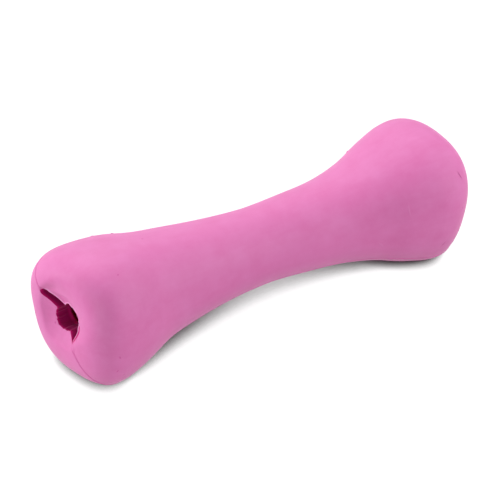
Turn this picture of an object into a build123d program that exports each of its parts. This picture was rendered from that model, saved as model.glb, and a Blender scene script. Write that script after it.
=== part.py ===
"""Hollow rubber chew bone with a split mouth at each end, moulded as two half shells and bonded.

Millimetres. +X runs along the toy, +Z is up, and the toy lies on the flats of its two knobs on
Z = 0. The near end is the one at -X. The half shells meet on a parting plane through the long
axis. The plane leans as the toy lies: its upper seam is at the back and its lower seam at the
front. Soft rubber sets unevenly, so the two knobs differ, the shaft bends a little along the
parting plane and the ends lean.
"""
from dataclasses import dataclass
from math import copysign, cos, hypot, pi, radians, sin, sqrt, tan

from build123d import *
import os

os.makedirs("parts", exist_ok=True)

# Outer form
overall_length = 150.0
near_knob_width = 43.6
far_knob_width = 46.4
waist_diameter = 26.0
end_edge_radius = 11.4

# Where the long axis runs: above the floor, and forward so that the toy's box lies about the origin
axis_height = 21.5
axis_set_forward = 0.5

# How far the shaft bends up along the seam: a bow at the waist, and a sway from end to end
waist_bow = 1.6
shaft_sway = 0.75
sway_turn = 230.0

# How far each end leans, in degrees: its upper rim out, and its front rim in
near_lean_up = 4.0
near_lean_front = 6.0
far_lean_up = 3.0
far_lean_front = 0.0
lean_reach = 25.0

# Treat cavity inside
wall_thickness = 5.5
end_wall = 5.0
cavity_edge_radius = 6.0

# Dished ends. The rim's rounding would crest just past the end, so that it meets the land at an edge.
# The front shell's dish is pushed in deeper at the near end.
dish_depth = 3.5
dish_rim_radius = 2.5
rim_land = 0.3
rim_lift = 0.05
lip_push = 1.2

# Mouth at each end, in the middle of its dish, which may lie up the seam from the end's own middle
mouth_width = 10.2
mouth_height = 8.6
near_mouth_rise = 2.0
far_mouth_rise = 0.0

# Slits that run from each mouth along the seam, measured from the mouth's middle
slit_width = 2.4
upper_slit_reach = 10.4
upper_slit_tip = 1.8
lower_slit_reach = 8.7
lower_slit_tip = 1.1

# Bonded seam
parting_angle = 40.0
bond_thickness = 0.8

# How far every cut and trimming block runs past what it cuts
cut_overrun = 5.0

# The section is a superellipse, round at the waist and squarish at the knobs. The corners of each
# knob are rolled from the seam, in degrees, and the squareness leads the growth of the width.
waist_exponent = 2.0
near_exponent = 2.8
far_exponent = 2.4
near_roll = -7.0
far_roll = 9.0
squareness_lead_share = 0.6
outline_steps = 8

# Places along the straight part of each half, and how far the width has grown there to the knob's
station_shares = (0.0, 0.23, 0.46, 0.63, 0.80)
near_width_shares = (0.0, 0.07, 0.26, 0.47, 0.81)
far_width_shares = (0.0, 0.06, 0.18, 0.40, 0.76)

# Turns, in degrees, at which the end rounding has a section of its own
rounding_turns = (0, 30, 55, 75, 90)

half_length = overall_length / 2
waist_half = waist_diameter / 2

seam_up = Vector(0, cos(radians(parting_angle)), sin(radians(parting_angle)))
seam_front = Vector(0, -sin(radians(parting_angle)), cos(radians(parting_angle)))
along = Vector(1, 0, 0)
axis_middle = Vector(0, -axis_set_forward, axis_height)
seam_up_axis = Axis(axis_middle, seam_up)
seam_front_axis = Axis(axis_middle, seam_front)
parting_plane = Plane(origin=axis_middle, x_dir=along, z_dir=seam_front)


@dataclass
class Knob:
    """One end of the toy, on side -1 or 1 of the middle, with its own size, squareness and lean."""

    side: int
    half_width: float
    width_shares: tuple
    exponent: float
    roll: float
    lean_up: float
    lean_front: float
    mouth_rise: float

    @property
    def rim_crest_radius(self):
        """Where the dish's rounded rim meets the land that the end rounding leaves."""
        return self.half_width - end_edge_radius - rim_land

    @property
    def slopes(self):
        """How far the end runs out along +X for a step up the seam, and for a step to its front."""
        return self.side * tan(radians(self.lean_up)), -self.side * tan(radians(self.lean_front))

    @property
    def end_middle(self):
        """Distance of the end's middle from the waist, with the furthest rim at the overall length."""
        return half_length - self.rim_crest_radius * hypot(*self.slopes)

    def section_plane(self, distance):
        """Plane of the section at a distance from the waist, its X up the seam and its Z along +X."""
        share = self.side * distance / half_length
        bend = waist_bow * (1 - share**2) - shaft_sway * sin(radians(sway_turn) * share)
        origin = axis_middle + along * (self.side * distance) + seam_up * bend
        fade = min(max((distance - half_length) / lean_reach + 1, 0), 1)
        slope_up, slope_front = (slope * fade * fade * (3 - 2 * fade) for slope in self.slopes)
        x_dir = seam_up + along * slope_up
        return Plane(origin=origin, x_dir=x_dir, z_dir=along - seam_up * slope_up - seam_front * slope_front)


near_knob = Knob(
    side=-1,
    half_width=near_knob_width / 2,
    width_shares=near_width_shares,
    exponent=near_exponent,
    roll=near_roll,
    lean_up=near_lean_up,
    lean_front=near_lean_front,
    mouth_rise=near_mouth_rise,
)
far_knob = Knob(
    side=1,
    half_width=far_knob_width / 2,
    width_shares=far_width_shares,
    exponent=far_exponent,
    roll=far_roll,
    lean_up=far_lean_up,
    lean_front=far_lean_front,
    mouth_rise=far_mouth_rise,
)


def outline_point(half_width, exponent, roll, turn):
    """Point of the section's outline at a turn from the seam, and how it moves on with the turn."""
    corner_turn = turn + pi / 4 - roll
    cosine = cos(corner_turn)
    sine = sin(corner_turn)
    stretch = abs(cosine) ** exponent + abs(sine) ** exponent
    radius = half_width / stretch ** (1 / exponent)
    change = copysign(abs(cosine) ** (exponent - 1), cosine) * sine
    change -= copysign(abs(sine) ** (exponent - 1), sine) * cosine
    growth = radius * change / stretch
    point = (radius * cos(turn), radius * sin(turn))
    step = (growth * cos(turn) - radius * sin(turn), growth * sin(turn) + radius * cos(turn))
    return point, step


def half_sections(knob, edge_radius, inset, growth):
    """Sections of a bone form from the waist to one end: distance, half-width and share of the knob."""
    straight = knob.end_middle - end_edge_radius
    end = knob.end_middle - inset
    widening = knob.half_width - waist_half
    sections = [
        (place * straight, waist_half + widening * share + growth, share)
        for place, share in zip(station_shares, knob.width_shares)
    ]
    for degrees in rounding_turns:
        turn = radians(degrees)
        half_width = knob.half_width + growth - edge_radius * (1 - cos(turn))
        sections.append((end - edge_radius * (1 - sin(turn)), half_width, 1))
    return [(knob, *section) for section in sections]


def half_bone(front, edge_radius, inset, growth):
    """One half of a bone form, in front of the parting plane for front 1 and behind it for front -1.

    Its ends lie in from the toy's by the inset, and its sides stand out from the toy's by the growth.
    """
    near_sections = half_sections(near_knob, edge_radius, inset, growth)
    far_sections = half_sections(far_knob, edge_radius, inset, growth)
    turns = [pi * step / outline_steps for step in range(outline_steps + 1)]
    with BuildPart() as half:
        for knob, distance, half_width, share in near_sections[:0:-1] + far_sections:
            square = share**squareness_lead_share
            exponent = waist_exponent + (knob.exponent - waist_exponent) * square
            roll = radians(knob.roll) * square
            outline = [outline_point(half_width, exponent, roll, front * turn) for turn in turns]
            points = [point for point, step in outline]
            leave_seam = Vector(outline[0][1]) * front
            meet_seam = Vector(outline[-1][1]) * front
            with BuildSketch(knob.section_plane(distance)):
                with BuildLine():
                    add(Edge.make_spline(points, [leave_seam, meet_seam], parameters=turns, scale=False))
                    Line(points[-1], points[0])
                make_face()
        loft()
    return half.part


def dish_cutter(knob, depth):
    """What a dished end takes away: a hollow part of a sphere with a rounded rim."""
    rim_crest_radius = knob.rim_crest_radius
    dish_radius = sqrt(rim_crest_radius**2 - 2 * dish_rim_radius * depth)
    sphere_radius = (dish_radius**2 + depth**2) / (2 * depth)
    centre_height = sphere_radius - depth
    sphere_share = sphere_radius / (sphere_radius + dish_rim_radius)
    blend_point = (
        rim_crest_radius * sphere_share,
        centre_height - (centre_height + dish_rim_radius) * sphere_share,
    )
    section = knob.section_plane(knob.end_middle)
    outward = section.z_dir * knob.side
    crest = section.origin + section.x_dir * knob.mouth_rise + outward * rim_lift
    profile_plane = Plane(origin=crest, x_dir=section.x_dir, z_dir=section.x_dir.cross(outward))
    with BuildPart() as cutter:
        with BuildSketch(profile_plane):
            with BuildLine():
                rim = TangentArc((rim_crest_radius, 0), blend_point, tangent=(-1, 0))
                TangentArc(rim @ 1, (0, -depth), tangent=rim % 1)
                Polyline((0, -depth), (0, cut_overrun), (rim_crest_radius, cut_overrun), (rim_crest_radius, 0))
            make_face()
        revolve(axis=Axis(crest, outward))
    return cutter.part


def mouth_cutter(knob):
    """What a mouth takes away: an oval hole with a tapering slit up and down the seam."""
    end_middle = knob.section_plane(knob.end_middle).origin
    start = end_middle + seam_up * knob.mouth_rise + along * (knob.side * cut_overrun)
    depth = cut_overrun + dish_depth + end_wall + cut_overrun
    mouth_plane = Plane(origin=start, x_dir=seam_up, z_dir=along * -knob.side)
    arms = ((upper_slit_reach, upper_slit_tip), (-lower_slit_reach, lower_slit_tip))
    with BuildPart() as cutter:
        with BuildSketch(mouth_plane):
            Ellipse(mouth_height / 2, mouth_width / 2)
            for reach, tip in arms:
                tip_centre = reach - copysign(tip / 2, reach)
                with BuildLine():
                    Polyline(
                        (0, slit_width / 2), (tip_centre, tip / 2),
                        (tip_centre, -tip / 2), (0, -slit_width / 2),
                        close=True,
                    )
                make_face()
                with Locations((tip_centre, 0)):
                    Circle(tip / 2)
        extrude(amount=depth)
    return cutter.part


near_mouth = mouth_cutter(near_knob)
far_mouth = mouth_cutter(far_knob)
far_dish = dish_cutter(far_knob, dish_depth)
cavity_inset = dish_depth + end_wall

# What lies below the surface that the toy rests on is taken off as the knobs' flats
with BuildPart() as below_floor:
    with BuildSketch(Plane.XY):
        Rectangle(overall_length + 2 * cut_overrun, far_knob_width + 2 * cut_overrun)
    extrude(amount=-axis_height)

# Front half shell, above and in front of the seam
front_outside = half_bone(1, end_edge_radius, 0, 0)
front_hollow = half_bone(1, cavity_edge_radius, cavity_inset, -wall_thickness)
front_near_dish = dish_cutter(near_knob, dish_depth + lip_push)
with BuildPart() as front_half_shell:
    add(front_outside)
    for cutter in (front_hollow, front_near_dish, far_dish, near_mouth, far_mouth):
        add(cutter, mode=Mode.SUBTRACT)
    split(bisect_by=parting_plane.offset(bond_thickness / 2), keep=Keep.TOP)
front_half_shell.part.label = "front_half_shell"
export_step(front_half_shell.part, "parts/front_half_shell.step")

# Rear half shell, below and behind the seam, with the flats that the toy lies on
rear_outside = half_bone(-1, end_edge_radius, 0, 0)
rear_hollow = half_bone(-1, cavity_edge_radius, cavity_inset, -wall_thickness)
rear_near_dish = dish_cutter(near_knob, dish_depth)
with BuildPart() as rear_half_shell:
    add(rear_outside)
    for cutter in (rear_hollow, rear_near_dish, far_dish, near_mouth, far_mouth, below_floor.part):
        add(cutter, mode=Mode.SUBTRACT)
    split(bisect_by=parting_plane.offset(-bond_thickness / 2), keep=Keep.BOTTOM)
rear_half_shell.part.label = "rear_half_shell"
export_step(rear_half_shell.part, "parts/rear_half_shell.step")

# The front shell's two rims, above and below the long axis, are what the bond sticks to
rims = front_half_shell.faces().filter_by(seam_front_axis).group_by(seam_front_axis)[0].sort_by(seam_up_axis)

# Upper seam bond, along the back from the upper slit of one mouth to that of the other
with BuildPart() as upper_seam_bond:
    extrude(rims[-1], amount=-bond_thickness, dir=seam_front)
upper_seam_bond.part.label = "upper_seam_bond"
export_step(upper_seam_bond.part, "parts/upper_seam_bond.step")

# Lower seam bond, along the front from the lower slit of one mouth to that of the other
with BuildPart() as lower_seam_bond:
    extrude(rims[0], amount=-bond_thickness, dir=seam_front)
lower_seam_bond.part.label = "lower_seam_bond"
export_step(lower_seam_bond.part, "parts/lower_seam_bond.step")
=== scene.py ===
"""Dresses a hollow rubber chew bone: two soft half shells, the bonded seam between them and a plain studio.

Everything is in metres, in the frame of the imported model. Along the toy is X. Round the toy, places are
given in the seam's own directions: up along the parting plane, and forward, square to that plane. A turn
is counted from the upper seam. The near end is the one at -X, and the far end the one at +X.
"""
import math

import bmesh
import bpy
import numpy as np
from bpy.props import FloatProperty, FloatVectorProperty, PointerProperty
from mathutils import Matrix, Vector


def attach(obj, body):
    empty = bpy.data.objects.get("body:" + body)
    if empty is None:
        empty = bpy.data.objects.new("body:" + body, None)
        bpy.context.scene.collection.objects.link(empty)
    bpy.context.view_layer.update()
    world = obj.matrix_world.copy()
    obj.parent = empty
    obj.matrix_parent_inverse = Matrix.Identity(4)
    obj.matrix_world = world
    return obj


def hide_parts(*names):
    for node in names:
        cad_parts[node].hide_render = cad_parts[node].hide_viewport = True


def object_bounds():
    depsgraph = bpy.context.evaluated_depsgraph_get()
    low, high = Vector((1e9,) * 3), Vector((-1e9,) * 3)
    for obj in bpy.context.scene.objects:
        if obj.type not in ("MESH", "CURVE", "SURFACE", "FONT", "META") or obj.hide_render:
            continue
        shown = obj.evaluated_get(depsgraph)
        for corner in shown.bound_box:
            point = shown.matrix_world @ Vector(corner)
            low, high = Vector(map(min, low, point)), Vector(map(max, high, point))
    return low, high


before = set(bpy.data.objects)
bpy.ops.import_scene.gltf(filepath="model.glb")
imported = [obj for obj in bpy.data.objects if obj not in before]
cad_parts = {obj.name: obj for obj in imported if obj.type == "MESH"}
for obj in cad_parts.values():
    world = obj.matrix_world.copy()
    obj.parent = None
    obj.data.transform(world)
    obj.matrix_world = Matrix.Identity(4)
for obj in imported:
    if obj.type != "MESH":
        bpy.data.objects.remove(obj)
cad_low, cad_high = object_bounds()

bl_info = {
    "name": "Chew bone",
    "version": (1, 0, 0),
    "blender": (4, 5, 0),
    "location": "View3D > Sidebar > Chew bone",
    "description": "Builds a split-mouth rubber chew bone and a plain studio around it",
    "category": "Add Mesh",
}

MM = 0.001
NEAR = -1
FAR = 1
FRONT = 1
REAR = -1
UPPER = 1
LOWER = -1

# Places along the straight part of each half where the widths are given
STATION_SHARES = (0.0, 0.23, 0.46, 0.63, 0.80, 1.0)

# Torn spots on the near lip: shell side, turn in degrees, width in degrees, reach in towards the axis
LIP_TEETH = (
    (FRONT, 22.0, 7.0, 0.40 * MM),
    (FRONT, 47.0, 7.0, -0.45 * MM),
    (FRONT, 122.0, 4.0, -0.50 * MM),
    (FRONT, 136.0, 5.0, 0.40 * MM),
    (REAR, 68.0, 7.0, 0.45 * MM),
    (REAR, 92.0, 5.0, -0.35 * MM),
    (REAR, 130.0, 9.0, 0.30 * MM),
)

# Fine roughness of both mouths' cut lips: waves in a full turn, start of the wave and its share
LIP_WAVES = (
    (17, 0.7, 1.0),
    (31, 2.1, 0.8),
    (43, 4.4, 0.6),
)

# More keeps a lip's rough edge closer to the mouth
LIP_FADE = 3

# Crease beside the near mouth's front lip: its ends in millimetres up the seam and forward of it
CREASE_START = (8.4, 3.8)
CREASE_STOP = (5.9, 6.0)

# Curled strip of the near mouth's front lip beside the lower slit, in millimetres: its outer side up the
# seam and forward of it, from the slit's tip to the mouth
CURL_UP = (-6.9, -6.4, -5.0, -3.6, -2.6)
CURL_FORWARD = (0.4, 1.1, 2.0, 2.5, 2.8)

# Millimetres over which the curled strip rises at each end, and how far it goes past its last place
CURL_RAMP = 0.8
CURL_PAST = 0.6

# Raw cut colour on the curled strip's outer side, partly a painted glow, in breadths of that side: its middle
# and its spread
CURL_RAW_MIDDLE = 0.1
CURL_RAW_SPREAD = 0.75

# Nubs of flash left on the seam: which seam, place along the toy, half-length and height
FLASH_NUBS = (
    (UPPER, -51.0 * MM, 0.4 * MM, 0.25 * MM),
    (UPPER, -44.2 * MM, 0.5 * MM, 0.55 * MM),
    (UPPER, 46.2 * MM, 0.4 * MM, 0.40 * MM),
    (LOWER, 44.3 * MM, 0.6 * MM, 0.25 * MM),
    (LOWER, 60.2 * MM, 0.5 * MM, 0.50 * MM),
)

# Distance from a mark's middle, in its half-sizes, where it starts and where it is full
MARK_START = 1.2
MARK_FULL = 0.2

# Marks in the shells' faces, with painted shade in the pits and creases and a painted highlight on the raised
# streaks: middle in millimetres, direction, half-length, half-width and depth, which is negative for a raised
# streak
FACE_MARKS = (
    ((-40.3, 3.8, 39.8), (1.0, 0.0, 0.0), 0.45 * MM, 0.45 * MM, 0.08 * MM),
    ((-57.8, -11.4, 42.6), (1.0, 0.0, 0.0), 0.50 * MM, 0.35 * MM, 0.05 * MM),
    ((-64.2, -22.4, 19.6), (0.5, 0.0, -1.0), 0.70 * MM, 0.35 * MM, 0.05 * MM),
    ((-65.2, -22.1, 14.2), (-0.7, 0.0, -1.0), 0.90 * MM, 0.30 * MM, 0.06 * MM),
    ((-62.9, -22.0, 12.0), (-0.7, 0.0, -1.0), 0.90 * MM, 0.30 * MM, 0.06 * MM),
    ((-72.2, 5.1, 18.4), (0.3, 0.4, -0.9), 0.70 * MM, 0.40 * MM, 0.10 * MM),
    ((68.6, -18.8, 36.7), (1.0, -1.4, -2.5), 1.90 * MM, 0.30 * MM, 0.25 * MM),
    ((67.8, -22.4, 25.9), (0.0, 0.0, 1.0), 0.50 * MM, 0.40 * MM, 0.10 * MM),
    ((60.8, -22.1, 13.4), (1.7, -0.8, 2.3), 2.20 * MM, 0.35 * MM, 0.12 * MM),
    ((62.6, -22.4, 13.0), (1.7, -0.8, 2.3), 1.60 * MM, 0.30 * MM, 0.12 * MM),
    ((48.4, -18.8, 30.3), (0.0, -1.3, -3.3), 2.30 * MM, 0.35 * MM, -0.06 * MM),
    ((38.9, -16.8, 18.6), (1.6, -0.2, -1.8), 1.60 * MM, 0.35 * MM, -0.06 * MM),
)

# Rings of the mesh on each stretch of a half, steps round each shell, places through the wall from its
# outer face to its inner one, and steps across the bond
DISH_RINGS = 14
RIM_RINGS = 7
ROUNDING_RINGS = 18
STRAIGHT_RINGS = 40
STEPS_ROUND = 56
DEPTH_SHARES = (0.0, 0.05, 0.18, 0.5, 1.0)
STEPS_ACROSS_BOND = 4

# Rings that mark out a nub of flash, and how many of its half-lengths they cover on each side
NUB_RINGS = 7
NUB_COVER = 1.5

# Shares of the turn where the two steps next to a seam lie, and rings past the rim until they lie there
SEAM_STEP = 0.005
NEXT_SEAM_STEP = 0.015
CROWDING_RINGS = 6

# The cut edge's colour is raw rubber, partly a painted glow of light through the thin lip; the cut wall's is
# painted shade and the cavity's painted bounce light
# Shares of the wall between which each raw colour comes in, and the share that raw rubber on a face has
CUT_EDGE_DEPTHS = (0.004, 0.02)
CUT_WALL_DEPTHS = (0.06, 0.16)
CAVITY_DEPTHS = (0.7, 1.0)
RAW_FACE_DEPTH = 0.03

# Floor's painted shadow, where its added white is taken away near the toy: rays from each point, shares of
# open air where the added white is least and where it is whole, and how much white is left where it is least
SIDE_AIR = {"samples": 48, "closed": 0.46, "free": 0.60}
CONTACT_AIR = {"samples": 16, "closed": 0.1, "free": 0.55}
LEAST_WHITE = 0.05

# Lamps: name, place, width, height and the setting that holds the power
LAMPS = (
    ("top light", (0.0, 0.45, 0.85), 0.9, 0.5, "top_power"),
    ("top right light", (0.65, -0.1, 0.75), 0.6, 0.6, "top_right_power"),
    ("left light", (-0.75, 0.6, 0.35), 0.5, 0.6, "left_power"),
    ("low left light", (-0.85, -0.35, 0.15), 0.5, 0.28, "low_power"),
    ("right light", (0.6, -0.75, 0.35), 0.5, 0.6, "right_power"),
    ("back light", (0.2, 0.9, 0.5), 0.9, 0.5, "back_power"),
)

# Half of the floor's side, and the camera's sensor width in millimetres and clipping distances
FLOOR_REACH = 4.0
SENSOR_WIDTH = 36
CLIP_START = 0.05
CLIP_END = 20


def length(name, description, default):
    """A size in metres."""
    return FloatProperty(name=name, description=description, default=default, unit="LENGTH", precision=5)


def lengths(name, description, millimetres):
    """A row of sizes, given in millimetres and kept in metres."""
    default = [value * MM for value in millimetres]
    return FloatVectorProperty(
        name=name, description=description, default=default, size=len(default), unit="LENGTH", precision=5
    )


def angle(name, description, degrees):
    """An angle, given in degrees and kept in radians."""
    return FloatProperty(name=name, description=description, default=math.radians(degrees), unit="ROTATION")


def number(name, description, default):
    """A plain number."""
    return FloatProperty(name=name, description=description, default=default, precision=4)


def power(name, description, default):
    """A lamp's power in watts."""
    return FloatProperty(name=name, description=description, default=default, unit="POWER")


def colour(name, description, default):
    """A linear colour."""
    return FloatVectorProperty(
        name=name, description=description, default=default, subtype="COLOR", min=0, max=1
    )


class ChewBoneSizes(bpy.types.PropertyGroup):
    """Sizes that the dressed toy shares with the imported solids."""

    overall_length: length("Overall length", "End to end", cad_high.x - cad_low.x)
    axis_middle: lengths("Axis middle", "Middle of the long axis", (0.35, -0.5, 21.5))
    parting_angle: angle("Parting angle", "Lean of the parting plane above level", 40.0)
    wall_thickness: length("Wall", "Thickness of the side wall", 5.5 * MM)
    end_wall: length("End wall", "Thickness behind the dish", 5.0 * MM)
    cavity_edge_radius: length("Cavity edge radius", "Rounding of the cavity's ends", 6.0 * MM)
    mouth_width: length("Mouth width", "Oval hole in each end, across the seam", 10.2 * MM)
    mouth_height: length("Mouth height", "Oval hole in each end, along the seam", 8.6 * MM)
    near_mouth_rise: length("Near mouth rise", "Near mouth and dish up the seam from the axis", 2.0 * MM)
    far_mouth_rise: length("Far mouth rise", "Far mouth and dish up the seam from the axis", 0.0)
    slit_width: length("Slit width", "Where a slit leaves the mouth", 2.4 * MM)
    upper_slit_reach: length("Upper slit reach", "From the mouth's middle", 10.4 * MM)
    upper_slit_tip: length("Upper slit tip", "Width of the upper slit's tip", 1.8 * MM)
    lower_slit_reach: length("Lower slit reach", "From the mouth's middle", 8.7 * MM)
    lower_slit_tip: length("Lower slit tip", "Width of the lower slit's tip", 1.1 * MM)
    bond_thickness: length("Bond", "Rubber between the shells' rims", 0.8 * MM)


class ChewBoneForm(bpy.types.PropertyGroup):
    """Form of the soft moulded toy, with the torn and stretched spots that its solids leave out."""

    near_widths: lengths(
        "Near widths", "Half-width from waist to near knob", (13.0, 13.6, 15.3, 17.1, 20.1, 21.8)
    )
    far_widths: lengths(
        "Far widths", "Half-width from waist to far knob", (13.0, 13.6, 14.8, 17.1, 20.8, 23.2)
    )
    near_edge_radius: length("Near edge radius", "Rounding of the near knob's edge", 11.4 * MM)
    far_edge_radius: length("Far edge radius", "Rounding of the far knob's edge", 11.3 * MM)
    near_edge_squareness: number("Near edge squareness", "2 rounds the edge evenly, more is squarer", 2.2)
    far_edge_squareness: number("Far edge squareness", "2 rounds the edge evenly, more is squarer", 2.1)
    near_squareness: number("Near squareness", "2 is round, more is squarer", 2.8)
    far_squareness: number("Far squareness", "2 is round, more is squarer", 2.4)
    near_shoulder: number("Near shoulder", "Less brings the squareness nearer to the waist", 0.5)
    far_shoulder: number("Far shoulder", "Less brings the squareness nearer to the waist", 0.75)
    near_roll: angle("Near roll", "Turn of the near knob's corners from the seam", -7.0)
    far_roll: angle("Far roll", "Turn of the far knob's corners from the seam", 9.0)
    near_sink: lengths(
        "Near sink", "Sunk at the middle, upper rim, front rim and along the seam", (1.1, -1.0, 1.3, -0.2)
    )
    far_sink: lengths(
        "Far sink", "Sunk at the middle, upper rim, front rim and along the seam", (0.8, -0.7, -0.2, 0.6)
    )
    sink_radius: length("Sink radius", "Distance from the axis where the end's sinking is given", 14 * MM)
    sink_reach: length("Sink reach", "How far from the end the sinking fades out", 25 * MM)
    near_drift: lengths(
        "Near drift", "Set of the axis up the seam from waist to near end", (1.6, 2.15, 2.2, 1.6, 0.3, -0.4)
    )
    far_drift: lengths(
        "Far drift", "Set of the axis up the seam from waist to far end", (1.6, 0.9, 0.25, 0.2, 0.5, 0.5)
    )
    dish_depth: length("Dish depth", "Hollow of each end below its rim", 3.5 * MM)
    dish_rim_radius: length("Dish rim radius", "Rounding of the dish's rim", 2.5 * MM)
    rim_land: length("Rim land", "Flat left between the two roundings", 0.3 * MM)
    edge_crowding: number("Edge crowding", "More sets the edge rounding's rings closer to the rim", 1.6)
    near_seam_shift: angle("Near seam shift", "How far the near knob's lower seam strays to the rear", 5.0)
    near_tear: length("Near tear", "How much further the near mouth's upper slit has torn", 1.0 * MM)
    upper_lip_push: length("Upper lip push", "How far the near front lip has gone in at its top", 1.85 * MM)
    lower_lip_push: length("Lower lip push", "How far the near front lip has gone in at its foot", 2.5 * MM)
    upper_push_past: length("Upper push past", "How far past the upper slit's tip the push goes", 1.2 * MM)
    upper_push_fade: length("Upper push fade", "Where the push runs out at the upper slit's tip", 2.4 * MM)
    lower_push_fade: length("Lower push fade", "Where the push runs out at the lower slit's tip", 3.5 * MM)
    lip_push_spread: length("Lip push spread", "How far past the slits the lip's front goes in", 13 * MM)
    crease_width: length("Crease width", "Half-width of the crease beside the near front lip", 0.5 * MM)
    crease_depth: length("Crease depth", "Depth of the crease beside the near front lip", 0.35 * MM)
    curl_height: length("Curl height", "How far the strip beside the lower slit stands up", 0.55 * MM)
    curl_side: length("Curl side", "Breadth of the curled strip's outer side", 0.5 * MM)
    lip_bead: length("Lip bead", "How far the stretched edge of the near front lip stands up", 0.35 * MM)
    lip_bead_width: length("Lip bead width", "Breadth of the stretched edge", 0.5 * MM)
    lip_ragged: length("Lip raggedness", "Fine roughness of both mouths' cut lips", 0.10 * MM)
    bead_height: length("Seam bead", "How far the bond stands proud", 0.2 * MM)
    front_lip_softness: length("Front lip softness", "Rounding of the stretched front lips", 0.34 * MM)
    rear_lip_softness: length("Rear lip softness", "Rounding of the crisp rear lips", 0.16 * MM)
    seam_softness: length("Seam softness", "Rounding of the shells' edges along the bond", 0.18 * MM)
    bond_softness: length("Bond softness", "Rounding of the bond's own edges", 0.09 * MM)
    floor_blend: length("Resting blend", "Softness of the flats that the toy lies on", 0.25 * MM)


class ChewBoneFinish(bpy.types.PropertyGroup):
    """Colours and finish of the rubber."""

    shell_colour: colour("Shell", "Pink of the moulded shells", (0.85, 0.200, 0.515))
    shell_pale: colour("Shell, paler", "Paler cloud in the shells", (0.89, 0.250, 0.585))
    bond_colour: colour("Bond", "Pink of the bonding rubber", (0.84, 0.20, 0.52))
    # Painted highlight: pale colour along the front lips' edges and on the raised streaks, where light
    # catches them
    painted_highlight_colour: colour("Painted edge highlight", "Pale line on the stretched front lips", (0.94, 0.38, 0.70))
    # Cut edge: raw rubber, partly a painted glow of light through the thin lip
    cut_edge_raw_and_glow: colour("Cut edge", "Raw rubber along the cut lips", (0.70, 0.003, 0.21))
    # Painted shade: the cut walls inside the mouth are darker than the rubber
    cut_wall_shade_colour: colour("Cut wall", "Raw rubber on the cut walls", (0.42, 0.001, 0.13))
    # Painted bounce light: deep magenta inside the cavity
    cavity_bounce_colour: colour("Inside", "Raw rubber inside the cavity", (0.98, 0.010, 0.30))
    roughness: number("Roughness", "Satin of moulded rubber", 0.52)
    gloss_spread: number("Gloss spread", "How far the clouds change the roughness", 0.06)
    specular: number("Specular", "Strength of the rubber's shine", 0.28)
    sheen: number("Sheen", "Soft light along the outline", 0.1)
    sheen_roughness: number("Sheen roughness", "Spread of the sheen", 0.5)
    # Painted shade in the pits and creases, and a painted highlight on the raised streaks
    pit_strength: number("Pit strength", "How much of the marks' colour shows in pits and creases", 0.5)
    streak_highlight_strength: number("Streak highlight strength", "How much of the pale colour shows on raised streaks", 0.25)
    pit_shade_colour: colour("Marks", "Rubber in the pits and creases", (0.70, 0.06, 0.34))
    seam_tint: number("Seam tint", "How much of the cut edge's colour shows along the bond", 0.3)
    mottle_size: length("Mottle size", "Clouding of the colour", 8 * MM)
    streak_size: length("Streak size", "Breadth of the faint streaks along the toy", 1.6 * MM)
    streak_stretch: number("Streak stretch", "Breadth of a streak as a share of its length", 0.15)
    streak_share: number("Streak share", "How much of the clouding is streaks", 0.22)
    cloud_low: number("Cloud low", "Clouding at or below this is the base colour", 0.32)
    cloud_high: number("Cloud high", "Clouding at or above this is the paler colour", 0.68)
    grain_size: length("Grain size", "Fine grain of the mould's face", 0.9 * MM)
    grain_depth: length("Grain depth", "Height of the fine grain", 0.02 * MM)


class ChewBoneStudio(bpy.types.PropertyGroup):
    """Camera, floor and light."""

    azimuth: angle("Azimuth", "Camera's turn from straight ahead, negative to the left", -32.2)
    elevation: angle("Elevation", "Camera above level", 37.55)
    distance: length("Distance", "Camera to the toy's middle", 0.838)
    lens: FloatProperty(name="Lens", description="Focal length", default=183.1, unit="CAMERA")
    aim_right: length("Aim right", "Where the view's middle lies beside the toy's", -2.2 * MM)
    world_strength: number("World", "Even light from all round", 0.01)
    top_power: power("Top", "Soft light overhead, towards the back", 4.0)
    top_right_power: power("Top right", "Soft light overhead, to the right", 3.3)
    left_power: power("Left", "Soft light on the left, towards the back", 4.8)
    low_power: power("Low left", "Soft low light on the left", 2.7)
    right_power: power("Right", "Soft light on the right", 4.5)
    back_power: power("Back", "Soft light behind", 2.7)
    floor_white: number("Floor", "Paleness of the floor", 0.52)
    floor_seen: number("Floor seen", "Paleness of the floor where the camera sees it", 0.12)
    # Painted shadow on the floor: the side and the reaches over which its added white is taken away
    shadow_azimuth: angle("Shadow azimuth", "Turn of the side that the floor's white comes from", -40.0)
    shadow_elevation: angle("Shadow elevation", "Height of the side that the white comes from", 42.0)
    shadow_reach: length("Shadow reach", "How far off the toy takes the added white away", 100 * MM)
    contact_reach: length("Contact reach", "How close above the floor it takes more away", 5.5 * MM)


def smooth_through(places, values, x):
    """Smooth curve through values at places, level at both ends."""
    slopes = np.gradient(values, places)
    slopes[0] = 0
    slopes[-1] = 0
    left = np.clip(np.searchsorted(places, x) - 1, 0, len(places) - 2)
    span = places[left + 1] - places[left]
    s = (x - places[left]) / span
    start = (1 + 2 * s) * (1 - s) ** 2 * values[left] + s * (1 - s) ** 2 * span * slopes[left]
    end = s * s * (3 - 2 * s) * values[left + 1] + s * s * (s - 1) * span * slopes[left + 1]
    return start + end


def ease(value):
    """Smooth step from 0 to 1."""
    value = np.clip(value, 0, 1)
    return value * value * (3 - 2 * value)


def straight_shares(middle, reach, end):
    """Places of the rings between knob and waist as shares of that length, closer at each nub of flash."""
    shares = [np.linspace(0, 1, STRAIGHT_RINGS)]
    for _, place, spread, _ in FLASH_NUBS:
        nub = (end * place - middle + spread * np.linspace(-NUB_COVER, NUB_COVER, NUB_RINGS)) / reach
        if nub.min() > 0 and nub.max() < 1:
            shares.append(nub)
    return np.unique(np.concatenate(shares))[-2::-1]


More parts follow.
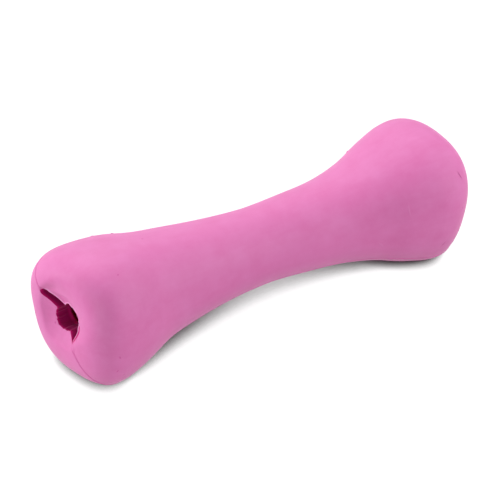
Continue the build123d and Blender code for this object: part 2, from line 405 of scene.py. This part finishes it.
class HalfRings:
    """Rings of the wall on one half of the toy, from its mouth to the waist, outside and inside.

    Each ring has a place, its distance from the waist, and a half-width. The first rings lie in the dished
    face, and take a share of the oval mouth's own radius. Squareness is 0 on round rings and 1 on a knob's.
    """

    def __init__(self, sizes, form, end):
        near = end == NEAR
        widths = np.array(form.near_widths if near else form.far_widths)
        edge = form.near_edge_radius if near else form.far_edge_radius
        self.end = end
        self.squareness = form.near_squareness if near else form.far_squareness
        self.roll = form.near_roll if near else form.far_roll
        rise = sizes.near_mouth_rise if near else sizes.far_mouth_rise
        shoulder = form.near_shoulder if near else form.far_shoulder
        self.sink = form.near_sink if near else form.far_sink
        self.upper_reach = sizes.upper_slit_reach + (form.near_tear if near else 0)
        self.rim = widths[-1] - edge - form.rim_land
        self.rim_radius = form.dish_rim_radius
        self.dish_depth = form.dish_depth
        self.sizes = sizes
        half = sizes.overall_length / 2

        dish = math.sqrt(self.rim**2 - 2 * self.rim_radius * self.dish_depth)
        self.sphere = (dish**2 + self.dish_depth**2) / (2 * self.dish_depth)
        blend_turn = math.asin(self.rim / (self.sphere + self.rim_radius))
        self.blend = self.sphere * math.sin(blend_turn)
        dish_share = np.linspace(0, 1, DISH_RINGS)
        rim_turn = np.linspace(blend_turn, 0, RIM_RINGS)[1:]
        edge_turn = math.pi / 2 * (1 - np.linspace(0, 1, ROUNDING_RINGS) ** form.edge_crowding)
        bulge = 2 / (form.near_edge_squareness if near else form.far_edge_squareness)
        edge_across = np.maximum(np.cos(edge_turn), 0) ** bulge
        edge_along = np.maximum(np.sin(edge_turn), 0) ** bulge
        straight = straight_shares(end * sizes.axis_middle[0], half - edge, end)
        body = smooth_through(np.array(STATION_SHARES), widths, straight)

        self.face_rings = DISH_RINGS + len(rim_turn)
        past_face = len(edge_turn) + len(straight)
        self.mouth_share = np.concatenate([1 - dish_share, np.zeros(len(rim_turn) + past_face)])
        self.outer_width = np.concatenate([
            self.blend * dish_share,
            self.rim - self.rim_radius * np.sin(rim_turn),
            widths[-1] - edge * (1 - edge_across),
            body,
        ])
        self.outer_place = np.concatenate([
            np.full(self.face_rings, half),
            half - edge * (1 - edge_along),
            straight * (half - edge),
        ])
        body_square = np.clip((body - widths[0]) / (widths[-1] - widths[0]), 0, 1) ** shoulder
        self.square = np.concatenate([
            ease(self.outer_width[:self.face_rings] / self.rim),
            np.ones(len(edge_turn)),
            body_square,
        ])
        edge_share = np.linspace(0, 1, ROUNDING_RINGS)
        self.rise = rise * np.concatenate([np.ones(self.face_rings), 1 - ease(edge_share), 0 * straight])
        self.sink_radius = form.sink_radius
        self.sink_fade = ease((self.outer_place - half + form.sink_reach) / form.sink_reach)

        # The lower seam strays past the slit's tip, and is back in place at the waist
        past_slit = self.seam_radius(False, math.pi) - sizes.lower_slit_reach
        off_slit = ease(past_slit / (edge + form.rim_land))
        off_waist = ease(self.outer_place / (half / 2))
        shift = form.near_seam_shift if near else 0
        self.lower_shift = shift * off_slit * off_waist

        cavity_half = half - self.dish_depth - sizes.end_wall
        cavity_knob = widths[-1] - sizes.wall_thickness
        cavity_edge = sizes.cavity_edge_radius
        self.plate = cavity_knob - cavity_edge
        self.inner_width = np.concatenate([
            np.zeros(self.face_rings),
            cavity_knob - cavity_edge * (1 - np.cos(edge_turn)),
            body - sizes.wall_thickness,
        ])
        self.inner_place = np.concatenate([
            np.full(self.face_rings, cavity_half),
            cavity_half - cavity_edge * (1 - np.sin(edge_turn)),
            straight * (cavity_half - cavity_edge),
        ])

    def mouth_at(self, turn):
        """Distance from its middle to the oval mouth's edge at turns from the upper seam."""
        along = self.sizes.mouth_height / 2
        across = self.sizes.mouth_width / 2
        return 1 / np.hypot(np.cos(turn) / along, np.sin(turn) / across)

    def dish_at(self, radius):
        """Depth of the dished end below its rim at distances from the axis."""
        hollow = np.sqrt(np.maximum(self.sphere**2 - radius**2, 0)) - (self.sphere - self.dish_depth)
        past_blend = np.clip(self.rim - radius, 0, self.rim_radius)
        rim = self.rim_radius - np.sqrt(self.rim_radius**2 - past_blend**2)
        return np.where(radius < self.blend, hollow, rim)

    def skin_at(self, inside, turn):
        """Distance from the waist and from the axis of each ring at turns from the upper seam."""
        mouth = self.mouth_at(turn)
        radius = self.outer_width[:, None] + self.mouth_share[:, None] * mouth
        place = self.outer_place[:, None] + 0 * radius
        face = slice(0, self.face_rings)
        if inside:
            across = (radius - mouth) / (self.rim - mouth)
            radius = np.repeat(self.inner_width[:, None], radius.shape[1], axis=1)
            radius[face] = (mouth + across * (self.plate - mouth))[face]
            place = self.inner_place[:, None] + 0 * radius
        else:
            place[face] -= self.dish_at(radius[face])
        exponent = 2 + (self.squareness - 2) * self.square[:, None]
        corner = turn + math.pi / 4 - self.roll * self.square[:, None]
        stretch = np.abs(np.cos(corner)) ** exponent + np.abs(np.sin(corner)) ** exponent
        return place, radius / stretch ** (1 / exponent)

    def seam_radius(self, inside, turn):
        """Distance from the axis of each ring at one turn."""
        return self.skin_at(inside, np.full((len(self.square), 1), turn))[1][:, 0]

    def seam_gaps(self):
        """Distance of each ring's edges from the parting plane, at the upper and at the lower seam."""
        sizes = self.sizes
        top = self.seam_radius(False, 0.0)
        bottom = self.seam_radius(False, math.pi)
        upper = slit_half_width(top, sizes, self.upper_reach, sizes.upper_slit_tip)
        lower = slit_half_width(bottom, sizes, sizes.lower_slit_reach, sizes.lower_slit_tip)
        return upper, lower

    def sink_at(self, up, forward):
        """How far the uneven end has sunk in, by place up the seam and forward of it."""
        middle, upper, front, seam = self.sink
        up = up / self.sink_radius
        forward = forward / self.sink_radius
        sunk = middle + upper * up + front * forward + seam * (up**2 - forward**2)
        return sunk * self.sink_fade[:, None]


def slit_half_width(radius, sizes, reach, tip):
    """Half of a slit's gape at a distance from the axis, rounded at its tip, and half the bond past it."""
    tip_centre = reach - tip / 2
    taper = sizes.slit_width / 2 + (tip - sizes.slit_width) / 2 * radius / tip_centre
    past = np.clip((radius - tip_centre) / (tip / 2), 0, 1)
    rounded = tip / 2 * np.sqrt(1 - past**2)
    gape = np.where(radius < tip_centre, taper, rounded)
    return np.maximum(gape, sizes.bond_thickness / 2)


def to_frame(x, up, forward, sizes, form):
    """Turns places along the toy, up the seam and forward of it into the model's frame.

    What would lie below the surface that the toy rests on is flattened.
    """
    lean = sizes.parting_angle
    middle = sizes.axis_middle
    shares = np.array(STATION_SHARES)
    places = np.concatenate([-shares[:0:-1], shares])
    drift = np.concatenate([np.array(form.near_drift)[:0:-1], np.array(form.far_drift)])
    up = up + smooth_through(places, drift, np.clip(x / (sizes.overall_length / 2), -1, 1))
    y = middle[1] + up * math.cos(lean) - forward * math.sin(lean)
    z = middle[2] + up * math.sin(lean) + forward * math.cos(lean)
    z = (z + np.sqrt(z**2 + form.floor_blend**2)) / 2
    return np.stack([middle[0] + x, y, z], axis=-1)


def lip_reach(end, side, turn, form):
    """How far a lip's cut edge reaches in towards the axis at each turn. Only the near lip is torn."""
    fine = sum(share * np.sin(waves * turn + start) for waves, start, share in LIP_WAVES)
    reach = form.lip_ragged * fine
    for tooth_side, place, width, depth in LIP_TEETH:
        if end == NEAR and tooth_side == side:
            reach = reach + depth * np.exp(-(((np.degrees(turn) - place) / width) ** 2))
    return reach


def lip_push(sizes, form, turn, radius):
    """How far the near mouth's front lip has gone in: most at the mouth, and widest in front."""
    down = (1 - np.cos(turn)) / 2
    spread = form.lip_push_spread * np.sin(turn) ** 2
    upper_reach = sizes.upper_slit_reach + form.near_tear + form.upper_push_past
    reach = upper_reach * (1 - down) + sizes.lower_slit_reach * down + spread
    push = form.upper_lip_push * (1 - down) + form.lower_lip_push * down
    fade = form.upper_push_fade * (1 - down) + form.lower_push_fade * down + spread
    return push * ease((reach - radius) / fade)


def lip_crease(up, forward, form):
    """Depth of the crease beside the near mouth's front lip."""
    run_up, run_forward = ((stop - start) * MM for start, stop in zip(CREASE_START, CREASE_STOP))
    off_up = up - CREASE_START[0] * MM
    off_forward = forward - CREASE_START[1] * MM
    share = np.clip((off_up * run_up + off_forward * run_forward) / (run_up**2 + run_forward**2), 0, 1)
    away = np.hypot(off_up - share * run_up, off_forward - share * run_forward)
    return form.crease_depth * np.exp(-((away / form.crease_width) ** 2))


def lip_curl(up, forward, form):
    """Height of the curled strip beside the lower slit, and where its raw outer side shows."""
    up = up / MM
    outer_side = np.interp(up, CURL_UP, CURL_FORWARD) * MM
    along = ease((up - CURL_UP[0]) / CURL_RAMP) * ease((CURL_UP[-1] + CURL_PAST - up) / CURL_RAMP)
    off = (outer_side - forward) / form.curl_side
    height = form.curl_height * along * ease(off + 0.5)
    return height, along * np.exp(-(((off - CURL_RAW_MIDDLE) / CURL_RAW_SPREAD) ** 2))


def turn_shares(rings):
    """Shares of the turn from the upper to the lower seam, closer beside the seam past the end's rim."""
    even = np.linspace(0, 1, STEPS_ROUND + 1)
    between = np.linspace(NEXT_SEAM_STEP, 1 - NEXT_SEAM_STEP, STEPS_ROUND - 3)
    crowded = np.concatenate([[0, SEAM_STEP], between, [1 - SEAM_STEP, 1]])
    past_rim = ease((np.arange(len(rings.square)) - rings.face_rings) / CROWDING_RINGS)
    return even[None] + past_rim[:, None] * (crowded - even)[None]


def half_skins(sizes, form, end, side):
    """Outer and inner points of one half of a shell, and raw rubber on its face.

    All are by ring from the mouth and by turn from the upper seam.
    """
    rings = HalfRings(sizes, form, end)
    upper, lower = rings.seam_gaps()
    skins = []
    raw = np.zeros((len(rings.square), STEPS_ROUND + 1))
    for inside in (False, True):
        start = np.arcsin(np.clip(upper / rings.seam_radius(inside, 0.0), 0, 1))
        stop = math.pi - np.arcsin(np.clip(lower / rings.seam_radius(inside, math.pi), 0, 1))
        stop = stop + side * rings.lower_shift
        turn = start[:, None] + (stop - start)[:, None] * turn_shares(rings)
        place, radius = rings.skin_at(inside, side * turn)
        if not inside:
            radius = radius - rings.mouth_share[:, None] ** LIP_FADE * lip_reach(end, side, turn, form)
        up = radius * np.cos(turn) + rings.rise[:, None]
        forward = side * radius * np.sin(turn)
        inward = rings.sink_at(up, forward)
        if side == FRONT and end == NEAR:
            inward = inward + lip_push(sizes, form, turn, radius) * rings.sink_fade[:, None]
            if not inside:
                creased = lip_crease(up, forward, form)
                curled, raw = lip_curl(up, forward, form)
                raw[rings.face_rings:] = 0
                on_face = np.arange(len(raw))[:, None] < rings.face_rings
                off_slit = np.where(upper > sizes.bond_thickness / 2, -upper, np.inf)[:, None] + forward
                off_lip = np.minimum(rings.outer_width[:, None] * on_face + 1 - on_face, np.abs(off_slit))
                bead = form.lip_bead * np.exp(-((off_lip / form.lip_bead_width) ** 2))
                inward = inward + (creased - np.maximum(curled, bead)) * on_face
        skins.append(to_frame(end * (place - inward), up, forward, sizes, form))
    return skins[0], skins[1], raw


def shell_lattice(sizes, form, side):
    """Points of one half shell, by ring from near to far, by turn and by depth, and its raw rubber."""
    near = half_skins(sizes, form, NEAR, side)
    far = half_skins(sizes, form, FAR, side)
    outer, inner, raw = (np.concatenate([a, b[-2::-1]]) for a, b in zip(near, far))
    depth = np.array(DEPTH_SHARES)[None, None, :, None]
    return outer[:, :, None] * (1 - depth) + inner[:, :, None] * depth, raw


def bonded_rings(sizes, form, seam):
    """Which rings of the whole toy have bond in the upper or in the lower seam."""
    gaps = []
    for end in (NEAR, FAR):
        upper, lower = HalfRings(sizes, form, end).seam_gaps()
        gaps.append(upper if seam == UPPER else lower)
    gap = np.concatenate([gaps[0], gaps[1][-2::-1]])
    return gap <= sizes.bond_thickness / 2


def bond_lattice(sizes, form, seam):
    """Points of one strip of bond, by ring from slit to slit, across the seam and by depth."""
    turn = 0 if seam == UPPER else -1
    kept = bonded_rings(sizes, form, seam)
    front = shell_lattice(sizes, form, FRONT)[0][kept, turn]
    rear = shell_lattice(sizes, form, REAR)[0][kept, turn]
    across = np.linspace(0, 1, STEPS_ACROSS_BOND + 1)
    share = across[None, :, None, None]
    points = front[:, None] * (1 - share) + rear[:, None] * share
    crown = 4 * across * (1 - across)
    x = points[:, 0, 0, 0]
    height = form.bead_height + 0 * x
    for nub_seam, place, spread, rise in FLASH_NUBS:
        if nub_seam == seam:
            height = height + rise * np.exp(-(((x - place) / spread) ** 2))
    outward = points[:, :, 0] - points[:, :, -1]
    outward = outward / np.linalg.norm(outward, axis=-1, keepdims=True)
    points[:, :, 0] += outward * (height[:, None] * crown[None])[..., None]
    return points


def block_mesh(name, lattice, edge_weights, raw, pale):
    """Closed mesh over the six sides of a bent block of points.

    It keeps weights for how far its edges are rounded, and on its outer face where raw rubber shows and
    where a pale highlight is painted along an edge.
    """
    shape = lattice.shape[:3]
    on_skin = np.zeros(shape, bool)
    for axis in range(3):
        for end in (0, -1):
            on_skin[tuple(end if a == axis else slice(None) for a in range(3))] = True
    number_of = np.full(shape, -1)
    number_of[on_skin] = np.arange(on_skin.sum())
    faces = []
    for axis in range(3):
        for end in (0, -1):
            sheet = number_of[tuple(end if a == axis else slice(None) for a in range(3))]
            quads = np.stack([sheet[:-1, :-1], sheet[1:, :-1], sheet[1:, 1:], sheet[:-1, 1:]], axis=-1)
            faces.extend(quads.reshape(-1, 4).tolist())
    mesh = bpy.data.meshes.new(name)
    mesh.from_pydata(lattice[on_skin].tolist(), [], faces)
    shaped = bmesh.new()
    shaped.from_mesh(mesh)
    bmesh.ops.recalc_face_normals(shaped, faces=shaped.faces)
    shaped.to_mesh(mesh)
    shaped.free()
    mesh.polygons.foreach_set("use_smooth", [True] * len(mesh.polygons))

    ring, step, depth = (index[on_skin] for index in np.indices(shape))
    inside = mesh.attributes.new("wall_depth", "FLOAT", "POINT")
    inside_share = np.array(DEPTH_SHARES)[depth]
    inside_share[depth == 0] = RAW_FACE_DEPTH * raw[ring, step][depth == 0]
    inside.data.foreach_set("value", inside_share.astype(np.float32))
    # Painted highlight: share of the pale highlight colour along an edge
    stretched = mesh.attributes.new("stretched_edge", "FLOAT", "POINT")
    stretched.data.foreach_set("value", np.where(depth == 0, pale[ring, step], 0).astype(np.float32))
    ends = np.zeros(len(mesh.edges) * 2, int)
    mesh.edges.foreach_get("vertices", ends)
    a, b = ends.reshape(-1, 2).T
    weight = np.zeros(len(a))
    on_top = (depth[a] == 0) & (depth[b] == 0)
    mouth = (ring[a] == ring[b]) & np.isin(ring[a], (0, shape[0] - 1))
    rim = (step[a] == step[b]) & np.isin(step[a], (0, shape[1] - 1))
    weight[on_top & mouth] = edge_weights["mouth"]
    along = np.minimum(ring[a], ring[b])
    upper = on_top & rim & (step[a] == 0)
    lower = on_top & rim & (step[a] > 0)
    weight[upper] = edge_weights["upper"][along[upper]]
    weight[lower] = edge_weights["lower"][along[lower]]
    corner = mouth & rim
    weight[corner] = edge_weights["mouth"]
    rounding = mesh.attributes.new("bevel_weight_edge", "FLOAT", "EDGE")
    rounding.data.foreach_set("value", weight.astype(np.float32))
    return mesh


def add_piece(name, mesh, node, material, softness):
    """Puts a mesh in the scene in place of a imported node, with its edges rounded and its faces smoothed."""
    piece = bpy.data.objects.new(name, mesh)
    bpy.context.scene.collection.objects.link(piece)
    mesh.materials.append(material)
    bevel = piece.modifiers.new("rounded edges", "BEVEL")
    bevel.limit_method = "WEIGHT"
    bevel.width = softness
    bevel.segments = 2
    smooth = piece.modifiers.new("soft faces", "SUBSURF")
    smooth.levels = 1
    smooth.render_levels = 1
    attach(piece, "root")
    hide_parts(node)


def add_shell(name, side, node, context):
    """Builds one half shell, with soft lips and finer edges along the bond."""
    sizes = context.scene.chew_bone_sizes
    form = context.scene.chew_bone_form
    softness = form.front_lip_softness if side == FRONT else form.rear_lip_softness
    fine = form.seam_softness / softness
    weights = {"mouth": 1.0}
    lattice, raw = shell_lattice(sizes, form, side)
    # Painted highlight along the front shell's slit edges and mouth lips
    pale = np.zeros(raw.shape)
    for key, seam, step in (("upper", UPPER, 0), ("lower", LOWER, -1)):
        bonded = bonded_rings(sizes, form, seam)
        weights[key] = np.where(bonded, fine, 1.0)
        raw[bonded, step] = context.scene.chew_bone_finish.seam_tint
        if side == FRONT:
            beside = 1 if step == 0 else -2
            pale[~bonded, step] = 1
            pale[~bonded, beside] = 1
            pale[[0, 1, -2, -1]] = 1
    mesh = block_mesh(name, lattice, weights, raw, pale)
    material = shell_rubber(context.scene.chew_bone_finish)
    add_piece(name, mesh, node, material, softness)


def plug(tree, socket, value):
    """Puts another node's output, a number or a colour into an input."""
    if isinstance(value, bpy.types.NodeSocket):
        tree.links.new(value, socket)
    else:
        socket.default_value = value


def calculate(tree, operation, *values):
    """Result of a sum with outputs and numbers."""
    node = tree.nodes.new("ShaderNodeMath")
    node.operation = operation
    for socket, value in zip(node.inputs, values):
        plug(tree, socket, value)
    return node.outputs["Value"]


def ramp(tree, value, start, stop, low=0, high=1, interpolation="LINEAR"):
    """Goes from low to high while a value goes from start to stop."""
    node = tree.nodes.new("ShaderNodeMapRange")
    node.interpolation_type = interpolation
    node.inputs["From Min"].default_value = start
    node.inputs["From Max"].default_value = stop
    node.inputs["To Min"].default_value = low
    node.inputs["To Max"].default_value = high
    tree.links.new(value, node.inputs["Value"])
    return node.outputs["Result"]


def cover(tree, under, share, over):
    """Covers a colour with a share of another one."""
    node = tree.nodes.new("ShaderNodeMix")
    node.data_type = "RGBA"
    node.inputs["B"].default_value = (*over, 1)
    plug(tree, node.inputs["A"], under)
    tree.links.new(share, node.inputs["Factor"])
    return node.outputs["Result"]


def noise(tree, place, size, detail, roughness=0.5):
    """Soft noise with spots of a size."""
    node = tree.nodes.new("ShaderNodeTexNoise")
    node.inputs["Scale"].default_value = 1 / size
    node.inputs["Detail"].default_value = detail
    node.inputs["Roughness"].default_value = roughness
    tree.links.new(place, node.inputs["Vector"])
    return node.outputs["Fac"]


def kept_value(tree, name):
    """A value that the mesh keeps at each point."""
    node = tree.nodes.new("ShaderNodeAttribute")
    node.attribute_name = name
    return node.outputs["Fac"]


def face_marks(tree, place, skin, finish):
    """Adds the pits, creases and raised streaks to a skin's colour as painted shade and painted highlights,
    and gives their height.
    """
    height = 0.0
    for middle, aim, half_length, half_width, depth in FACE_MARKS:
        local = tree.nodes.new("ShaderNodeMapping")
        local.vector_type = "TEXTURE"
        local.inputs["Location"].default_value = [value * MM for value in middle]
        local.inputs["Rotation"].default_value = Vector(aim).to_track_quat("X", "Z").to_euler()
        local.inputs["Scale"].default_value = (half_length, half_width, half_width)
        tree.links.new(place, local.inputs["Vector"])
        away = tree.nodes.new("ShaderNodeVectorMath")
        away.operation = "LENGTH"
        tree.links.new(local.outputs["Vector"], away.inputs[0])
        amount = ramp(tree, away.outputs["Value"], MARK_START, MARK_FULL, interpolation="SMOOTHSTEP")
        height = calculate(tree, "MULTIPLY_ADD", amount, -depth, height)
        # Pits and creases get painted shade, and raised streaks a painted highlight
        strength = finish.pit_strength if depth > 0 else finish.streak_highlight_strength
        over = finish.pit_shade_colour if depth > 0 else finish.painted_highlight_colour
        skin = cover(tree, skin, calculate(tree, "MULTIPLY", amount, strength), over)
    return skin, height


def rubber(name, base, pale, finish):
    """Satin rubber: clouded colour, fine mould grain, painted highlights and pit shade, and raw colour in the
    mouth with painted glow, shade and bounce light.
    """
    material = bpy.data.materials.new(name)
    material.use_nodes = True
    tree = material.node_tree
    shader = tree.nodes["Principled BSDF"]
    place = tree.nodes.new("ShaderNodeTexCoord").outputs["Object"]

    cloud = noise(tree, place, finish.mottle_size, detail=5, roughness=0.6)
    along = tree.nodes.new("ShaderNodeMapping")
    along.inputs["Scale"].default_value = (finish.streak_stretch, 1, 1)
    tree.links.new(place, along.inputs["Vector"])
    streak = noise(tree, along.outputs["Vector"], finish.streak_size, detail=2)
    clouded = tree.nodes.new("ShaderNodeMix")
    clouded.inputs["Factor"].default_value = finish.streak_share
    tree.links.new(cloud, clouded.inputs["A"])
    tree.links.new(streak, clouded.inputs["B"])
    paleness = ramp(tree, clouded.outputs["Result"], finish.cloud_low, finish.cloud_high)
    skin = cover(tree, (*base, 1), paleness, pale)
    skin, mark_height = face_marks(tree, place, skin, finish)
    # Painted highlight along the front lips' edges
    skin = cover(tree, skin, kept_value(tree, "stretched_edge"), finish.painted_highlight_colour)

    depth = kept_value(tree, "wall_depth")
    # Cut edge partly a painted glow, cut wall painted shade, cavity painted bounce light
    layers = (
        (CUT_EDGE_DEPTHS, finish.cut_edge_raw_and_glow),
        (CUT_WALL_DEPTHS, finish.cut_wall_shade_colour),
        (CAVITY_DEPTHS, finish.cavity_bounce_colour),
    )
    for (start, stop), raw_colour in layers:
        skin = cover(tree, skin, ramp(tree, depth, start, stop), raw_colour)
    tree.links.new(skin, shader.inputs["Base Color"])

    grain = noise(tree, place, finish.grain_size, detail=3)
    bump = tree.nodes.new("ShaderNodeBump")
    bump.inputs["Strength"].default_value = 1
    bump.inputs["Distance"].default_value = 1
    height = calculate(tree, "MULTIPLY_ADD", grain, finish.grain_depth, mark_height)
    tree.links.new(height, bump.inputs["Height"])
    tree.links.new(bump.outputs["Normal"], shader.inputs["Normal"])

    smoothest = finish.roughness - finish.gloss_spread
    roughest = finish.roughness + finish.gloss_spread
    tree.links.new(ramp(tree, cloud, 0, 1, smoothest, roughest), shader.inputs["Roughness"])
    shader.inputs["Specular IOR Level"].default_value = finish.specular
    shader.inputs["Sheen Weight"].default_value = finish.sheen
    shader.inputs["Sheen Roughness"].default_value = finish.sheen_roughness
    return material


def shell_rubber(finish):
    """The one material that both half shells share."""
    found = bpy.data.materials.get("shell rubber")
    return found or rubber("shell rubber", finish.shell_colour, finish.shell_pale, finish)


class CHEWBONE_OT_front_shell(bpy.types.Operator):
    """Build the front half shell"""

    bl_idname = "chew_bone.front_shell"
    bl_label = "Front half shell"

    def execute(self, context):
        add_shell("front_shell", FRONT, "front_half_shell", context)
        return {"FINISHED"}


class CHEWBONE_OT_rear_shell(bpy.types.Operator):
    """Build the rear half shell, which the toy lies on"""

    bl_idname = "chew_bone.rear_shell"
    bl_label = "Rear half shell"

    def execute(self, context):
        add_shell("rear_shell", REAR, "rear_half_shell", context)
        return {"FINISHED"}


class CHEWBONE_OT_seam_bonds(bpy.types.Operator):
    """Build the two strips of bonding rubber in the seam"""

    bl_idname = "chew_bone.seam_bonds"
    bl_label = "Seam bonds"

    def execute(self, context):
        sizes = context.scene.chew_bone_sizes
        form = context.scene.chew_bone_form
        finish = context.scene.chew_bone_finish
        material = rubber("bond rubber", finish.bond_colour, finish.shell_colour, finish)
        for place, seam in (("upper", UPPER), ("lower", LOWER)):
            name = f"{place}_bond"
            lattice = bond_lattice(sizes, form, seam)
            even = np.ones(len(lattice))
            weights = {"mouth": 1.0, "upper": even, "lower": even}
            bare = np.zeros(lattice.shape[:2])
            mesh = block_mesh(name, lattice, weights, bare, bare)
            add_piece(name, mesh, f"{place}_seam_bond", material, form.bond_softness)
        return {"FINISHED"}


def direction(azimuth, elevation):
    """Unit vector towards a place by its turn from straight ahead and its height above level."""
    level = math.cos(elevation)
    return Vector((math.sin(azimuth) * level, -math.cos(azimuth) * level, math.sin(elevation)))


def open_air(tree, reach, samples, closed, free, side=None):
    """Share of white left on the floor, least where the air is closed and whole where it is free, which
    paints its shadow.

    The air is that above the floor, or that on the side of a given direction.
    """
    air = tree.nodes.new("ShaderNodeAmbientOcclusion")
    air.samples = samples
    air.inputs["Distance"].default_value = reach
    if side is not None:
        tree.links.new(side, air.inputs["Normal"])
    return ramp(tree, air.outputs["AO"], closed, free, low=LEAST_WHITE)


def floor_material(studio):
    """Pale floor that looks white, with a painted shadow where its glow is taken away near the toy."""
    material = bpy.data.materials.new("white floor")
    material.use_nodes = True
    tree = material.node_tree
    shader = tree.nodes["Principled BSDF"]
    shader.inputs["Roughness"].default_value = 1
    shader.inputs["Specular IOR Level"].default_value = 0
    path = tree.nodes.new("ShaderNodeLightPath")
    direct = calculate(tree, "MAXIMUM", path.outputs["Is Camera Ray"], path.outputs["Is Glossy Ray"])
    seen = calculate(tree, "MAXIMUM", direct, path.outputs["Is Transmission Ray"])
    paleness = ramp(tree, seen, 0, 1, studio.floor_white, studio.floor_seen)
    tree.links.new(paleness, shader.inputs["Base Color"])
    # Painted shadow: the floor's glow fades where the toy closes off the air on the chosen side or above
    side = tree.nodes.new("ShaderNodeCombineXYZ")
    for socket, value in zip(side.inputs, direction(studio.shadow_azimuth, studio.shadow_elevation)):
        socket.default_value = value
    front = open_air(tree, studio.shadow_reach, side=side.outputs["Vector"], **SIDE_AIR)
    above = open_air(tree, studio.contact_reach, **CONTACT_AIR)
    white = calculate(tree, "MULTIPLY", front, above)
    glow = tree.nodes.new("ShaderNodeEmission")
    tree.links.new(calculate(tree, "MULTIPLY", seen, white), glow.inputs["Strength"])
    both = tree.nodes.new("ShaderNodeAddShader")
    tree.links.new(shader.outputs["BSDF"], both.inputs[0])
    tree.links.new(glow.outputs["Emission"], both.inputs[1])
    tree.links.new(both.outputs["Shader"], tree.nodes["Material Output"].inputs["Surface"])
    return material


def soft_light(name, place, target, width, height, watts):
    """A large even area light that faces a target."""
    data = bpy.data.lights.new(name, "AREA")
    data.shape = "RECTANGLE"
    data.size = width
    data.size_y = height
    data.energy = watts
    lamp = bpy.data.objects.new(name, data)
    bpy.context.scene.collection.objects.link(lamp)
    lamp.location = place
    lamp.rotation_mode = "QUATERNION"
    lamp.rotation_quaternion = (Vector(target) - Vector(place)).to_track_quat("-Z", "Y")


class CHEWBONE_OT_stage(bpy.types.Operator):
    """Set up the floor, the soft light and the camera"""

    bl_idname = "chew_bone.stage"
    bl_label = "Studio"

    def execute(self, context):
        scene = context.scene
        studio = scene.chew_bone_studio
        sizes = scene.chew_bone_sizes
        scene.view_settings.view_transform = "Standard"

        reach = FLOOR_REACH
        corners = [(-reach, -reach, 0), (reach, -reach, 0), (reach, reach, 0), (-reach, reach, 0)]
        mesh = bpy.data.meshes.new("floor")
        mesh.from_pydata(corners, [], [(0, 1, 2, 3)])
        mesh.materials.append(floor_material(studio))
        floor = bpy.data.objects.new("floor", mesh)
        scene.collection.objects.link(floor)

        world = bpy.data.worlds.new("studio")
        scene.world = world
        world.use_nodes = True
        background = world.node_tree.nodes["Background"]
        background.inputs["Color"].default_value = (1, 1, 1, 1)
        background.inputs["Strength"].default_value = studio.world_strength

        middle = Vector(sizes.axis_middle)
        for name, place, width, height, setting in LAMPS:
            soft_light(name, place, middle, width, height, getattr(studio, setting))

        back = direction(studio.azimuth, studio.elevation)
        right = Vector((math.cos(studio.azimuth), math.sin(studio.azimuth), 0))
        up = back.cross(right)
        data = bpy.data.cameras.new("camera")
        data.sensor_width = SENSOR_WIDTH
        data.lens = studio.lens
        data.clip_start = CLIP_START
        data.clip_end = CLIP_END
        camera = bpy.data.objects.new("camera", data)
        scene.collection.objects.link(camera)
        place = middle + back * studio.distance + right * studio.aim_right
        camera.matrix_world = Matrix.Translation(place) @ Matrix((right, up, back)).transposed().to_4x4()
        scene.camera = camera
        return {"FINISHED"}


class CHEWBONE_PT_panel(bpy.types.Panel):
    """Lists the toy's pieces and the studio"""

    bl_idname = "CHEWBONE_PT_panel"
    bl_label = "Chew bone"
    bl_space_type = "VIEW_3D"
    bl_region_type = "UI"
    bl_category = "Chew bone"

    def draw(self, context):
        for operator in OPERATORS:
            self.layout.operator(operator.bl_idname)


GROUPS = (
    ("chew_bone_sizes", ChewBoneSizes),
    ("chew_bone_form", ChewBoneForm),
    ("chew_bone_finish", ChewBoneFinish),
    ("chew_bone_studio", ChewBoneStudio),
)
OPERATORS = (
    CHEWBONE_OT_front_shell,
    CHEWBONE_OT_rear_shell,
    CHEWBONE_OT_seam_bonds,
    CHEWBONE_OT_stage,
)


def register():
    for name, group in GROUPS:
        bpy.utils.register_class(group)
        setattr(bpy.types.Scene, name, PointerProperty(type=group))
    for operator in OPERATORS:
        bpy.utils.register_class(operator)
    bpy.utils.register_class(CHEWBONE_PT_panel)


def unregister():
    bpy.utils.unregister_class(CHEWBONE_PT_panel)
    for operator in reversed(OPERATORS):
        bpy.utils.unregister_class(operator)
    for name, group in reversed(GROUPS):
        delattr(bpy.types.Scene, name)
        bpy.utils.unregister_class(group)


def main():
    register()
    bpy.ops.chew_bone.front_shell()
    bpy.ops.chew_bone.rear_shell()
    bpy.ops.chew_bone.seam_bonds()
    bpy.ops.chew_bone.stage()


if __name__ == "__main__":
    main()
